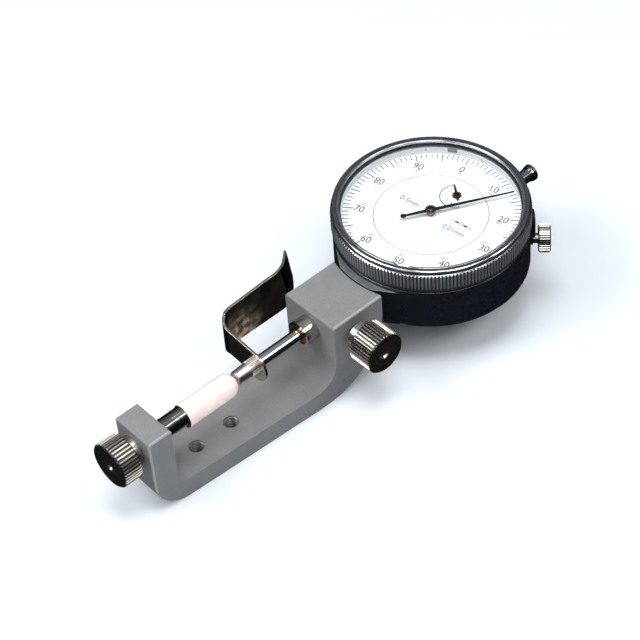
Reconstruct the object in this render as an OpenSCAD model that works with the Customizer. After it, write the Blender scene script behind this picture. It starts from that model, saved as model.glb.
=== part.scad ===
// Thickness gauge for capsule shells. A cast U-frame holds a fixed anvil rod in one block
// and the stem of a plunger dial indicator in the other, on one measuring axis.
// The origin is midway between the two base screw holes, on the frame's underside.
// +X runs along the measuring axis from the anvil to the dial, +Z is up, and the
// lengths are in millimetres. The plunger stands where the photographed shell holds it.

/* [Frame] */
// Distance between the two base screw holes
hole_pitch = 12.7; // [8:0.1:24]
// Diameter of the base screw holes
hole_d = 4.5; // [3:0.1:6]
// Distance from the middle of the holes to the anvil block's inner face
anvil_face = 18.45; // [14:0.05:26]
// Length of the anvil block
anvil_block_len = 7.85; // [6:0.05:12]
// Width of the anvil block
anvil_block_w = 14.6; // [11:0.1:18]
// Height of the anvil block
anvil_block_h = 28.9; // [26.6:0.1:32]
// Clear gap between the two blocks
gap_len = 56.1; // [52:0.1:66]
// Length of the dial block along the measuring axis
dial_block_len = 16.9; // [14:0.1:22]
// Width of the dial block
dial_block_w = 20; // [16:0.1:24]
// Height of the dial block
dial_block_h = 28; // [26.6:0.1:32]
// Thickness of the bar under the gap
bar_h = 6.65; // [5:0.05:8]
// Height of the measuring axis above the underside
axis_h = 22; // [21:0.1:23]
// Outer corner radius under the anvil block
anvil_corner_r = 12; // [8:0.5:14]
// Outer corner radius under the dial block
dial_corner_r = 21.5; // [8:0.5:24]
// Fillet between the bar and the anvil block
anvil_fillet_r = 4; // [1:0.5:6]
// Fillet between the bar and the dial block
dial_fillet_r = 7; // [1:0.5:9]
// Radius of the frame's soft outer edges
edge_r = 0.7; // [0.3:0.1:1.5]

/* [Anvil and specimen] */
// Diameter of the anvil rod
anvil_d = 6; // [4:0.1:6.4]
// Reach of the anvil's round tip past its block
anvil_reach = 27.34; // [24:0.01:30]
// Outer diameter of the capsule shell
capsule_d = 7.34; // [7:0.01:8]
// Wall of the capsule shell
capsule_wall = 0.13; // [0.08:0.01:0.2]
// Length of the capsule shell
capsule_len = 18.9; // [12:0.1:20]

/* [Knobs] */
// Diameter of the anvil knob
anvil_knob_d = 14; // [12:0.1:15]
// Diameter of the clamp knob
clamp_knob_d = 13; // [12:0.1:15]
// Number of serrations round a knob
knob_teeth = 40; // [24:1:48]
// Depth of a knob's serrations
knob_tooth_depth = 0.45; // [0.2:0.05:0.7]
// Diameter of the smooth hub behind a knob
knob_hub_d = 9; // [7.5:0.1:10.5]
// Serrated length of the anvil knob
anvil_knob_len = 6.2; // [4:0.1:9]
// Length of the anvil knob's hub
anvil_hub_len = 2.5; // [1:0.1:4]
// Serrated length of the clamp knob
clamp_knob_len = 8.15; // [5:0.05:11]
// Length of the clamp knob's hub
clamp_hub_len = 2.8; // [1:0.1:4]
// Bare screw between the dial block and the clamp knob's hub
clamp_standoff = 2; // [1.5:0.1:4]
// Diameter of the clamp screw
clamp_screw_d = 4; // [3:0.1:5]
// Distance of the clamp screw from the dial block's inner face
clamp_place = 7.6; // [6.6:0.1:8.6]
// Thickness of the brass pad between the clamp screw and the stem
clamp_pad_t = 1.5; // [1:0.1:2.5]

/* [Plunger] */
// Diameter of the plunger
plunger_d = 3.8; // [3.4:0.1:4.2]
// Length of the contact's plain cone
contact_len = 4.7; // [3:0.1:7]
// Diameter of the contact's end face
contact_d = 4.2; // [3:0.1:4.8]
// Diameter of the contact's knurled collar
collar_d = 4.9; // [4.6:0.1:6]
// Length of the contact's knurled collar
collar_len = 2.28; // [1.5:0.01:4]
// Number of serrations round the contact's collar
collar_teeth = 24; // [12:1:32]
// Diameter of the cap's flange
cap_flange_d = 5.3; // [5:0.1:9]
// Thickness of the cap's flange
cap_flange_t = 1.6; // [1.2:0.1:3]
// Diameter of the cap's sleeve
cap_sleeve_d = 4.3; // [3.8:0.1:4.9]
// Distance from the case to the cap's outer end
cap_out = 13.2; // [8:0.1:16]

/* [Lifting lever] */
// Thickness of the lever's strip
lever_t = 0.8; // [0.5:0.1:1.2]
// Radius of the lever's round eye
lever_eye_r = 5.1; // [4:0.1:6]
// Distance from the measuring axis to the outside of the thumb plate
lever_side = 16.5; // [15:0.1:20]
// Length of the lever from its eye to the middle of the flare's fold line
lever_len = 23.5; // [18:0.5:25]
// Outer radius of the lever's bend
lever_bend_r = 5.8; // [3:0.1:7]
// Reach of the flare past its fold line, along the measuring axis
flare_len = 7.7; // [5:0.1:11]
// Angle of the flared end
flare_angle = 43; // [10:1:50]
// Inner radius of the flare's fold
flare_bend_r = 9.5; // [3:0.5:10]
// Lean of the flare's fold line
flare_lean = 12; // [0:1:18]
// Height of the thumb plate above the measuring axis
thumb_up = 7.4; // [5:0.1:9]
// Depth of the thumb plate below the measuring axis
thumb_down = 6.9; // [5:0.1:8]

/* [Stem and case] */
// Diameter of the clamped stem
stem_d = 8; // [7:0.1:9]
// Diameter of the bores for the stem's bushes
stem_bush_d = 6.4; // [5.6:0.1:6.8]
// Reach of the stem past the dial block's inner face
stem_out = 4.4; // [2:0.1:7]
// Radius of the case
case_r = 28.7; // [26.5:0.1:32.5]
// Wall of the case
case_wall = 2.5; // [2:0.1:3]
// Distance from the measuring axis to the underside of the back cover
case_drop = 6.4; // [6.4:0.1:7.6]
// Thickness of the back cover
cover_t = 1.4; // [1:0.1:2]
// Reach of the boss's nose past the case
boss_reach = 2; // [1.5:0.1:3]
// Width of the boss's nose
boss_nose_w = 12.9; // [11:0.1:15]
// Width of the boss where it meets the case
boss_root_w = 26.5; // [20:0.5:32]
// Half of the boss's height
boss_half_h = 6.3; // [5.5:0.1:6.3]
// Gap between the boss and the dial block's hollow face
boss_gap = 0.3; // [0.1:0.05:1]

/* [Dial] */
// Height of the dial's face above the measuring axis
dial_rise = 11; // [10.9:0.1:12]
// Width of the bezel from its knurl's tips to the scale ring
bezel_w = 2.8; // [2.7:0.1:3.2]
// Radius of the joint between the scale ring and the fixed centre disc
centre_disc_r = 16.7; // [15:0.1:18]
// Reach of the bezel's knurl past the case
bezel_reach = 0.3; // [0.2:0.1:0.8]
// Number of teeth in the bezel's knurl
bezel_teeth = 176; // [120:4:200]
// Depth of the bezel's knurl
bezel_tooth_depth = 0.35; // [0.2:0.05:0.5]
// Width of the groove that holds the crystal and its split ring
crystal_seat_w = 1; // [0.8:0.05:1.1]
// Thickness of the crystal
crystal_t = 0.9; // [0.6:0.1:1]
// Gap between the main pointer's tip and the scale's edge
pointer_gap = 1.2; // [0.5:0.1:4]
// Length of the main pointer's tail
pointer_tail = 9.1; // [6:0.1:11]
// Reading of the main pointer, in divisions clockwise of the measuring axis
pointer_reading = 28; // [0:1:99]
// Length of the counter's hand
counter_len = 4.7; // [3:0.1:5.5]
// Angle of the counter's hand from the measuring axis, counterclockwise
counter_angle = 54; // [0:1:359]

/* [Movement] */
// Pitch of the rack's teeth
rack_pitch = 0.625; // [0.6:0.005:0.65]
// Number of teeth cut in the rack
rack_teeth = 16; // [14:1:18]
// Number of teeth of the rack's pinion
rack_pinion_teeth = 16; // [14:1:18]
// Number of teeth of the two large gears
gear_teeth = 100; // [90:2:110]
// Number of teeth of the centre pinion
centre_teeth = 10; // [8:1:12]
// Distance from the dial's centre to the arbors of the two large gears
arbor_offset = 10.45; // [10.2:0.05:10.8]
// Thickness of the large gears
gear_t = 0.5; // [0.3:0.1:0.8]
// Diameter of the arbors
arbor_d = 1; // [0.8:0.05:1.1]
// Thickness of the movement's two plates
plate_t = 0.8; // [0.6:0.1:0.9]

/* [Bezel clamp] */
// Angle of the bezel clamp from the measuring axis, clockwise
shoe_angle = 45; // [30:1:60]
// Width of the clamp shoe
shoe_w = 4; // [3.6:0.1:6]
// Thickness of the clamp shoe
shoe_t = 0.9; // [0.7:0.1:1.4]
// Diameter of the bezel clamp's knurled head
shoe_head_d = 8.4; // [6:0.1:9]
// Thickness of the bezel clamp's knurled head
shoe_head_t = 3.6; // [2:0.1:4]
// Diameter of the bezel clamp's screw
shoe_screw_d = 3; // [2:0.1:3.4]
// Depth of the bezel clamp's screw below the dial's face
shoe_drop = 10; // [9:0.1:11]

/* [Fits] */
// Radial clearance of pieces that run on each other
run_fit = 0.03; // [0.01:0.01:0.08]
// Radial clearance of pieces that are seated in each other
seat_fit = 0.01; // [0:0.005:0.02]
// Gap between faces that touch but move apart
face_gap = 0.03; // [0.02:0.01:0.08]

/* [Hidden] */
$fn = 96;

// Places along the measuring axis
anvil_in_x = -anvil_face;
anvil_out_x = anvil_in_x - anvil_block_len;
gap_end_x = anvil_in_x + gap_len;
boss_r = case_r + boss_reach;
hollow_r = boss_r + boss_gap;
dial_x = gap_end_x + dial_block_len + hollow_r;
tip_x = anvil_in_x + anvil_reach;

// The capsule shell hangs on the anvil rod, so that its axis is a little lower
capsule_slack = capsule_d / 2 - capsule_wall - anvil_d / 2;
capsule_drop = capsule_slack - face_gap;
capsule_end_x = tip_x + capsule_slack + capsule_wall;
contact_x = capsule_end_x + face_gap;
lever_x = contact_x + contact_len + collar_len;
plunger_x = lever_x + lever_t;
clamp_x = gap_end_x + clamp_place;
stem_x = gap_end_x - stem_out;
dial_block_end_x = dial_x - sqrt(pow(hollow_r, 2) - pow(dial_block_w / 2, 2));

// Levels of the case and the dial
dial_z = axis_h + dial_rise;
cover_z = axis_h - case_drop;
wall_z = cover_z + cover_t;
case_in_r = case_r - case_wall;
bezel_low = -3.2;
rim_z = dial_z + bezel_low - 0.3;
web_t = 1.4;
web_z = rim_z - web_t;
neck_r = case_r - 3.5;
neck_wall = 1.8;
disc_t = 0.4;
bridge_gap = 0.2;
bridge_z = axis_h + plunger_d / 2 + bridge_gap;
plate_z = web_z - plate_t;
gear_gap = 0.5;
gear_z = bridge_z + plate_t + gear_gap;
hair_z = gear_z + gear_t + 0.4;

// Radii of the bezel and of what it holds
bezel_r = case_r + bezel_reach;
scale_r = bezel_r - bezel_w;
lip_r = scale_r + crystal_seat_w;
pointer_len = scale_r - pointer_gap;

// The dial's stack above its face
knurl_low = -1.7;
knurl_top = 2.9;
bezel_top = 4.8;
crystal_low = 3.1;
crystal_gap = 0.02;
counter_hand_z = 0.35;
pointer_z = 1.55;
hand_t = 0.2;

// The gear train's sizes follow from the rack's pitch and the arbors' offset
rack_module = rack_pitch / PI;
rack_pitch_r = rack_module * rack_pinion_teeth / 2;
gear_module = 2 * arbor_offset / (gear_teeth + centre_teeth);
tooth_up = 0.75;
tooth_down = 1.15;
rack_side = plunger_d / 2 - 0.5;
rack_arbor_y = rack_side + rack_pitch_r;
rack_arbor_x = -sqrt(pow(arbor_offset, 2) - pow(rack_arbor_y, 2));
rack_mesh_angle = atan2(rack_arbor_y, rack_arbor_x);
// Angle of the centre pinion's tooth nearest to the take-up gear, from +X
centre_step = 360 / centre_teeth;
centre_phase = rack_mesh_angle - centre_step * round(rack_mesh_angle / centre_step);

function rim_points(n, tip_r, root_r, tip_share, root_share, phase = 0) =
    [for (i = [0 : n - 1]) for (k = [0 : 3])
        let (share = [-root_share, -tip_share, tip_share, root_share][k],
            r = (k == 0 || k == 3) ? root_r : tip_r,
            a = phase + 360 / n * (i + share / 2))
        [r * cos(a), r * sin(a)]];

// A gear's outline with one tooth's middle at the given angle
module gear_outline(teeth, module_size, phase) {
    pitch_r = module_size * teeth / 2;
    polygon(rim_points(teeth, pitch_r + tooth_up * module_size,
        pitch_r - tooth_down * module_size, 0.22, 0.6, phase));
}

// Places its children at x on the measuring axis, with their +Z along +X
module on_axis(x) {
    translate([x, 0, axis_h]) rotate([0, 90, 0]) children();
}

// Places its children over the dial's centre, z above the dial's face
module on_dial(z = 0) {
    translate([dial_x, 0, dial_z + z]) children();
}

// Places its children on the clamp screw's axis, with their +Z pointing out along -Y
module on_clamp(reach) {
    translate([clamp_x, -reach, axis_h]) rotate([90, 0, 0]) children();
}

// Places its children on the bezel clamp's axis, with their +Z pointing away from the dial
module on_shoe(reach) {
    on_dial(-shoe_drop) rotate([0, 0, -shoe_angle]) translate([reach, 0, 0])
        rotate([0, 90, 0]) children();
}

module ring(outer_r, inner_r, h) {
    difference() {
        cylinder(r = outer_r, h = h);
        translate([0, 0, -1]) cylinder(r = inner_r, h = h + 2);
    }
}

// What a round edge of radius r takes off a square corner at the origin
module corner_waste(r) {
    difference() {
        translate([-1, -1]) square(r + 1);
        translate([r, r]) circle(r);
    }
}

// What a fillet of radius r adds into a square corner at the origin
module fillet_web(r) {
    difference() {
        square(r);
        translate([r, r]) circle(r);
    }
}

module gap_outline() {
    difference() {
        translate([anvil_in_x, bar_h]) square([gap_len, anvil_block_h + dial_block_h]);
        translate([anvil_in_x, bar_h]) fillet_web(anvil_fillet_r);
        translate([gap_end_x, bar_h]) mirror([1, 0]) fillet_web(dial_fillet_r);
    }
}

module frame_side() {
    difference() {
        union() {
            translate([anvil_out_x, 0]) square([anvil_block_len + 1, anvil_block_h]);
            translate([anvil_out_x, 0]) square([dial_block_end_x - anvil_out_x, bar_h + 8]);
            translate([gap_end_x - 1, 0])
                square([dial_block_end_x - gap_end_x + 1, dial_block_h]);
        }
        gap_outline();
        translate([anvil_out_x, 0]) corner_waste(anvil_corner_r);
        translate([dial_block_end_x, 0]) mirror([1, 0]) corner_waste(dial_corner_r);
        translate([anvil_out_x, anvil_block_h]) mirror([0, 1]) corner_waste(edge_r);
        translate([anvil_in_x, anvil_block_h]) rotate(180) corner_waste(edge_r);
        translate([gap_end_x, dial_block_h]) mirror([0, 1]) corner_waste(edge_r);
    }
}

module frame_plan() {
    half_a = anvil_block_w / 2;
    half_d = dial_block_w / 2;
    taper_end = gap_end_x - dial_fillet_r;
    difference() {
        polygon([[anvil_out_x, -half_a], [anvil_in_x, -half_a], [taper_end, -half_d],
            [dial_x, -half_d], [dial_x, half_d], [taper_end, half_d],
            [anvil_in_x, half_a], [anvil_out_x, half_a]]);
        translate([dial_x, 0]) circle(hollow_r);
        translate([anvil_out_x, -half_a]) corner_waste(edge_r);
        translate([anvil_out_x, half_a]) mirror([0, 1]) corner_waste(edge_r);
    }
}

// Rounds a block's two long top edges
module top_edge_waste(x, len, w, h) {
    for (side = [-1, 1])
        translate([x - 1, side * w / 2, h]) rotate([90, 0, 90]) linear_extrude(len + 2)
            mirror([side < 0 ? 0 : 1, 0]) mirror([0, 1]) corner_waste(edge_r);
}

module frame() {
    color([0.42, 0.44, 0.45]) difference() {
        intersection() {
            translate([0, dial_block_w, 0]) rotate([90, 0, 0])
                linear_extrude(2 * dial_block_w) frame_side();
            linear_extrude(anvil_block_h + dial_block_h) frame_plan();
        }
        top_edge_waste(anvil_out_x, anvil_block_len, anvil_block_w, anvil_block_h);
        top_edge_waste(gap_end_x, dial_block_end_x - gap_end_x, dial_block_w, dial_block_h);
        for (side = [-1, 1])
            translate([side * hole_pitch / 2, 0, -1]) cylinder(d = hole_d, h = bar_h + 2);
        on_axis(anvil_out_x - 1) cylinder(d = anvil_d + 2 * run_fit, h = anvil_block_len + 2);
        on_axis(gap_end_x - 1) cylinder(d = stem_d + 2 * seat_fit, h = dial_block_len + 4);
        on_clamp(stem_d / 4) cylinder(d = clamp_screw_d + 2 * run_fit, h = dial_block_w);
    }
}

// A serrated knob with a smooth hub, which starts at z = 0, and a dished end
module knob(knob_d, length, hub_len, bore_d, bore_len) {
    end_z = hub_len + length;
    bevel = 0.5;
    difference() {
        union() {
            cylinder(d = knob_hub_d, h = hub_len + bevel);
            intersection() {
                translate([0, 0, hub_len]) linear_extrude(length)
                    polygon(rim_points(knob_teeth, knob_d / 2,
                        knob_d / 2 - knob_tooth_depth, 0.34, 0.72));
                rotate_extrude() polygon([[0, hub_len], [knob_d / 2 - bevel, hub_len],
                    [knob_d / 2, hub_len + bevel], [knob_d / 2, end_z - bevel],
                    [knob_d / 2 - bevel, end_z], [0, end_z]]);
            }
        }
        translate([0, 0, -1]) cylinder(d = bore_d, h = bore_len + 1);
        rotate_extrude() polygon([[0, end_z - 1.3], [1.4, end_z - 0.9], [1.8, end_z - 0.35],
            [knob_d / 2 - 1.3, end_z - 0.1], [knob_d / 2 - 1.2, end_z + 1], [0, end_z + 1]]);
    }
}

// The rod's rear end sits in its knob
module anvil_rod() {
    rear_x = anvil_out_x - anvil_hub_len - anvil_knob_len / 2;
    color([0.62, 0.62, 0.63]) {
        on_axis(rear_x) cylinder(d = anvil_d, h = tip_x - anvil_d / 2 - rear_x);
        on_axis(tip_x - anvil_d / 2) sphere(d = anvil_d);
    }
}

module anvil_knob() {
    color([0.7, 0.69, 0.66]) translate([anvil_out_x - face_gap, 0, axis_h])
        rotate([0, -90, 0])
            knob(anvil_knob_d, anvil_knob_len, anvil_hub_len, anvil_d + 2 * run_fit,
                anvil_hub_len + anvil_knob_len / 2 + 0.2);
}

// A half shell with its round end towards the plunger
module capsule_shell() {
    outer_r = capsule_d / 2;
    inner_r = outer_r - capsule_wall;
    dome_z = capsule_len - outer_r;
    color([0.95, 0.88, 0.87]) translate([0, 0, -capsule_drop])
        on_axis(capsule_end_x - capsule_len) difference() {
            union() {
                cylinder(r = outer_r, h = dome_z);
                translate([0, 0, dome_z]) sphere(outer_r);
            }
            translate([0, 0, -1]) cylinder(r = inner_r, h = dome_z + 1);
            translate([0, 0, dome_z]) sphere(inner_r);
        }
}

module clamp_pad() {
    color([0.75, 0.6, 0.3]) on_clamp(stem_d / 2 + face_gap)
        cylinder(d = clamp_screw_d, h = clamp_pad_t);
}

module clamp_screw() {
    start = stem_d / 2 + clamp_pad_t + 2 * face_gap;
    finish = dial_block_w / 2 + clamp_standoff + clamp_hub_len + clamp_knob_len / 2;
    color([0.6, 0.6, 0.6]) on_clamp(start) cylinder(d = clamp_screw_d, h = finish - start);
}

module clamp_knob() {
    color([0.7, 0.69, 0.66]) on_clamp(dial_block_w / 2 + clamp_standoff)
        knob(clamp_knob_d, clamp_knob_len, clamp_hub_len, clamp_screw_d + 2 * run_fit,
            clamp_hub_len + clamp_knob_len / 2 + 0.2);
}

stem_end_x = dial_x - case_in_r;
bush_recess = 0.4;
bush_len = 9;

module stem() {
    color([0.78, 0.77, 0.74]) on_axis(stem_x)
        ring(stem_d / 2, stem_bush_d / 2, stem_end_x - stem_x);
}

module stem_bush_front() {
    color([0.72, 0.45, 0.2]) on_axis(stem_x + bush_recess)
        ring(stem_bush_d / 2 - seat_fit, plunger_d / 2 + run_fit, bush_len);
}

module stem_bush_rear() {
    color([0.72, 0.45, 0.2]) on_axis(stem_end_x - bush_len)
        ring(stem_bush_d / 2 - seat_fit, plunger_d / 2 + run_fit, bush_len);
}

upper_bush_x = dial_x + case_in_r - 1.5;
upper_bush_len = case_wall + 1.9;
upper_bush_r = plunger_d / 2 + 1;

module upper_bush() {
    color([0.72, 0.45, 0.2]) on_axis(upper_bush_x)
        ring(upper_bush_r, plunger_d / 2 + run_fit, upper_bush_len);
}

lug_r = 2.2;
lug_place = case_in_r - 1.9;
lug_angles = [45, 135, 225, 315];
lug_hole_r = 0.7;
lug_screw_len = 3.6;

// The groove's wire between the neck and the bezel
spring_z = bezel_low + 0.75;
spring_wire_t = 0.5;

module on_lugs() {
    for (a = lug_angles) rotate(a) translate([lug_place, 0, 0]) children();
}

module boss_outline() {
    nose_x = sqrt(pow(boss_r, 2) - pow(boss_nose_w / 2, 2));
    root_x = sqrt(pow(case_r, 2) - pow(boss_root_w / 2, 2));
    intersection() {
        circle(boss_r);
        polygon([[-boss_r - 1, -boss_nose_w / 2], [-nose_x, -boss_nose_w / 2],
            [-root_x, -boss_root_w / 2], [-root_x, boss_root_w / 2],
            [-nose_x, boss_nose_w / 2], [-boss_r - 1, boss_nose_w / 2]]);
    }
}

// The wall, the web under the dial, the neck that the bezel turns on and the stem's boss
module case_body() {
    rim_bevel = 0.4;
    color([0.07, 0.075, 0.09]) difference() {
        union() {
            translate([dial_x, 0, wall_z])
                cylinder(r = case_r, h = rim_z - wall_z - rim_bevel);
            translate([dial_x, 0, rim_z - rim_bevel])
                cylinder(r1 = case_r, r2 = case_r - rim_bevel, h = rim_bevel);
            difference() {
                translate([dial_x, 0, axis_h - boss_half_h]) linear_extrude(2 * boss_half_h)
                    boss_outline();
                translate([dial_x, 0, cover_z - 1])
                    cylinder(r = case_r + face_gap, h = cover_t + 1);
            }
            translate([dial_x, 0, rim_z])
                ring(neck_r, neck_r - neck_wall, dial_z - disc_t - 0.2 - rim_z);
            translate([dial_x, 0, rim_z])
                cylinder(r = centre_disc_r - 0.6, h = dial_z - disc_t - rim_z);
        }
        difference() {
            translate([dial_x, 0, wall_z - 1]) cylinder(r = case_in_r, h = web_z - wall_z + 1);
            translate([dial_x, 0, wall_z]) on_lugs() cylinder(r = lug_r, h = web_z - wall_z);
        }
        translate([dial_x, 0, wall_z - 1]) on_lugs()
            cylinder(r = lug_hole_r, h = lug_screw_len + 1.3);
        translate([dial_x, 0, web_z - 1]) cylinder(r = 2, h = dial_z - web_z + 1);
        translate([dial_x + arbor_offset, 0, web_z - 1])
            cylinder(r = 1.2, h = dial_z - web_z + 1);
        on_dial(spring_z - 0.05) ring(neck_r + 1, neck_r - 0.5, spring_wire_t + 0.1);
        on_axis(dial_x - boss_r - 1)
            cylinder(d = stem_d + 2 * seat_fit, h = boss_r - case_in_r + 3);
        on_axis(upper_bush_x) cylinder(r = upper_bush_r + seat_fit, h = case_wall + 3);
        on_shoe(case_in_r - 3) cylinder(d = shoe_screw_d + 2 * run_fit, h = case_wall + 4);
    }
}

module back_cover() {
    color([0.08, 0.085, 0.1]) translate([dial_x, 0, cover_z]) difference() {
        union() {
            cylinder(r1 = case_r - 0.6, r2 = case_r, h = 0.6);
            translate([0, 0, 0.6]) cylinder(r = case_r, h = cover_t - 0.6);
        }
        translate([0, 0, -1]) on_lugs() cylinder(r = 1, h = cover_t + 2);
        translate([0, 0, -1]) on_lugs() cylinder(r = 1.75, h = 1.7);
    }
}

module cover_screws() {
    color([0.6, 0.6, 0.62]) translate([dial_x, 0, cover_z]) on_lugs() {
        difference() {
            translate([0, 0, 0.05]) cylinder(r = 1.65, h = 0.65);
            translate([-2, -0.25, -1]) cube([4, 0.5, 1.4]);
        }
        translate([0, 0, 0.05]) cylinder(r = lug_hole_r - seat_fit, h = cover_t + lug_screw_len);
    }
}

pillar_places = [[-16.5, -8.5], [17.5, -9.5], [6, 16]];
pillar_r = 1.1;
pivot_r = arbor_d / 2 + run_fit;

module plate_outline() {
    difference() {
        union() {
            polygon([pillar_places[0], pillar_places[1], pillar_places[2],
                [rack_arbor_x - 2, rack_arbor_y + 1]]);
            for (p = pillar_places) translate(p) circle(2.2);
            translate([rack_arbor_x, rack_arbor_y]) circle(3);
        }
        for (p = pillar_places) translate(p) circle(0.6);
    }
}

module pivot_holes(h) {
    cylinder(r = pivot_r, h = h);
    translate([arbor_offset, 0, 0]) cylinder(r = pivot_r, h = h);
    translate([rack_arbor_x, rack_arbor_y, 0]) cylinder(r = pivot_r, h = h);
}

module movement_plate() {
    color([0.78, 0.66, 0.36]) translate([dial_x, 0, plate_z]) difference() {
        linear_extrude(plate_t) plate_outline();
        translate([0, 0, -1]) pivot_holes(plate_t + 2);
    }
}

module gear_bridge() {
    color([0.78, 0.66, 0.36]) translate([dial_x, 0, bridge_z]) difference() {
        linear_extrude(plate_t) plate_outline();
        translate([0, 0, -1]) pivot_holes(plate_t + 2);
    }
}

module bridge_pillars() {
    color([0.72, 0.6, 0.32]) for (p = pillar_places)
        translate([dial_x + p[0], p[1], bridge_z + plate_t])
            ring(pillar_r, 0.6 + seat_fit, plate_z - bridge_z - plate_t);
}

module bridge_screws() {
    head_h = 0.7;
    color([0.55, 0.56, 0.6]) for (p = pillar_places)
        translate([dial_x + p[0], p[1], bridge_z - head_h]) {
            cylinder(r = 1.1, h = head_h);
            cylinder(r = 0.6 - seat_fit, h = web_z - bridge_z + head_h);
        }
}

// The return spring lies beside the plunger, between a post and the guide pin
spring_y = -6;
spring_post_x = -9;
guide_pin_x = case_in_r - 13.2;
spring_r = 1.1;
spring_wire_r = 0.2;
spring_coils = 18;
spring_sides = 6;
spring_rings = 10;
pin_r = 0.6;
pin_seat = 0.8;
spring_len = guide_pin_x - spring_post_x - 2 * (pin_r + spring_wire_r + 0.1);

module spring_post() {
    color([0.6, 0.6, 0.62]) translate([dial_x + spring_post_x, spring_y, wall_z])
        cylinder(r = pin_r, h = axis_h - wall_z + 1);
}

function coil_ring(t, k) =
    let (a = 360 * spring_coils * t, b = 360 * k / spring_sides,
        r = spring_r + spring_wire_r * cos(b))
    [spring_len * t + spring_wire_r * sin(b), r * cos(a), r * sin(a)];

// One unbroken helix of wire, with its two ends closed
module return_spring() {
    steps = spring_coils * spring_rings;
    points = [for (i = [0 : steps]) for (k = [0 : spring_sides - 1])
        coil_ring(i / steps, k)];
    sides = [for (i = [0 : steps - 1]) for (k = [0 : spring_sides - 1])
        let (a = i * spring_sides + k, b = i * spring_sides + (k + 1) % spring_sides)
        each [[a, a + spring_sides, b], [b, a + spring_sides, b + spring_sides]]];
    first = [for (k = [1 : spring_sides - 2]) [0, k, k + 1]];
    base = steps * spring_sides;
    last = [for (k = [1 : spring_sides - 2]) [base, base + k + 1, base + k]];
    color([0.6, 0.6, 0.62])
        translate([dial_x + spring_post_x + pin_r + spring_wire_r + 0.1, spring_y, axis_h])
            polyhedron(points, concat(sides, first, last));
}

// A slotted bar that keeps the plunger from turning
module pin_guide() {
    slot_w = 2 * pin_r + 2 * run_fit;
    travel_room = 8;
    color([0.72, 0.6, 0.32]) difference() {
        translate([dial_x + guide_pin_x - 3, spring_y - 4, wall_z])
            cube([travel_room + 4, 1.5, axis_h - wall_z + 1.2]);
        translate([dial_x + guide_pin_x - 1.5, spring_y - 5, axis_h - slot_w / 2])
            cube([travel_room, 4, slot_w]);
    }
}

module guide_pin() {
    start = plunger_d / 2 - pin_seat;
    color([0.6, 0.6, 0.62]) translate([dial_x + guide_pin_x, -start, axis_h])
        rotate([90, 0, 0]) cylinder(r = pin_r, h = 3.4 - spring_y - start);
}

hair_turns = 5;
hair_steps = 24;
hair_inner = 1.4;
hair_growth = 0.9;
hair_wire = 0.16;

function spiral(side) = [for (i = [0 : hair_turns * hair_steps])
    let (a = 360 * i / hair_steps,
        r = hair_inner + hair_growth * i / hair_steps + side * hair_wire / 2)
    [r * cos(a), r * sin(a)]];

// A flat spiral that takes up the train's play
module hairspring() {
    back = spiral(-1);
    color([0.35, 0.4, 0.6]) translate([dial_x + arbor_offset, 0, hair_z])
        linear_extrude(0.3)
            polygon(concat(spiral(1), [for (i = [len(back) - 1 : -1 : 0]) back[i]]));
}

module hairspring_stud() {
    reach = hair_inner + hair_growth * hair_turns;
    color([0.72, 0.6, 0.32])
        translate([dial_x + arbor_offset + reach + 0.08, -0.3, hair_z])
            cube([0.8, 0.6, plate_z - hair_z]);
}

// The shaft with its rack, from the lever to the cap
module plunger() {
    notch_half = rack_pitch * 0.3;
    shaft_end = dial_x + case_r + 0.7;
    thin_end = dial_x + case_r + cap_out - cap_flange_t;
    flat_y = rack_side + tooth_up * rack_module;
    floor_y = rack_side - tooth_down * rack_module;
    rack_x = dial_x + rack_arbor_x;
    lead = 2;
    color([0.62, 0.63, 0.65]) difference() {
        union() {
            on_axis(plunger_x) cylinder(d = plunger_d, h = shaft_end - plunger_x);
            on_axis(shaft_end) cylinder(d = plunger_d - 0.8, h = thin_end - shaft_end);
        }
        translate([dial_x + guide_pin_x, -plunger_d / 2 + pin_seat + 0.05, axis_h])
            rotate([90, 0, 0]) cylinder(r = pin_r + seat_fit, h = plunger_d);
        translate([rack_x - (rack_teeth - lead - 0.5) * rack_pitch, flat_y,
            axis_h - plunger_d])
            cube([rack_teeth * rack_pitch, plunger_d, 2 * plunger_d]);
        for (i = [0 : rack_teeth - 1])
            translate([rack_x - (rack_teeth - lead - 1 - i) * rack_pitch,
                0, axis_h - plunger_d])
                linear_extrude(2 * plunger_d)
                    polygon([[-notch_half * 0.45, floor_y], [notch_half * 0.45, floor_y],
                        [notch_half * 1.45, flat_y + 0.01], [-notch_half * 1.45, flat_y + 0.01]]);
    }
}

stud_d = plunger_d - 1.2;

// The cone and collar, with a stud that passes through the lever's eye
module contact_point() {
    bevel = 0.3;
    color([0.7, 0.7, 0.7]) {
        on_axis(contact_x) rotate_extrude() polygon([[0, 0], [contact_d / 2 - bevel, 0],
            [contact_d / 2, bevel], [collar_d / 2 - 0.15, contact_len], [0, contact_len]]);
        on_axis(contact_x + contact_len) linear_extrude(collar_len)
            polygon(rim_points(collar_teeth, collar_d / 2, collar_d / 2 - 0.2, 0.34, 0.72));
        on_axis(lever_x) cylinder(d = stud_d, h = lever_t);
    }
}

// The arm, its bend and the flat thumb plate seen from above, starting at the eye
module lever_plan() {
    straight = lever_side - lever_bend_r;
    translate([0, -lever_eye_r]) square([lever_t, lever_eye_r + straight]);
    translate([lever_bend_r, straight]) intersection() {
        difference() {
            circle(lever_bend_r);
            circle(lever_bend_r - lever_t);
        }
        translate([-lever_bend_r, 0]) square(lever_bend_r);
    }
    translate([lever_bend_r, lever_side - lever_t])
        square([lever_len - lever_bend_r - 2, lever_t]);
}

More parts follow.
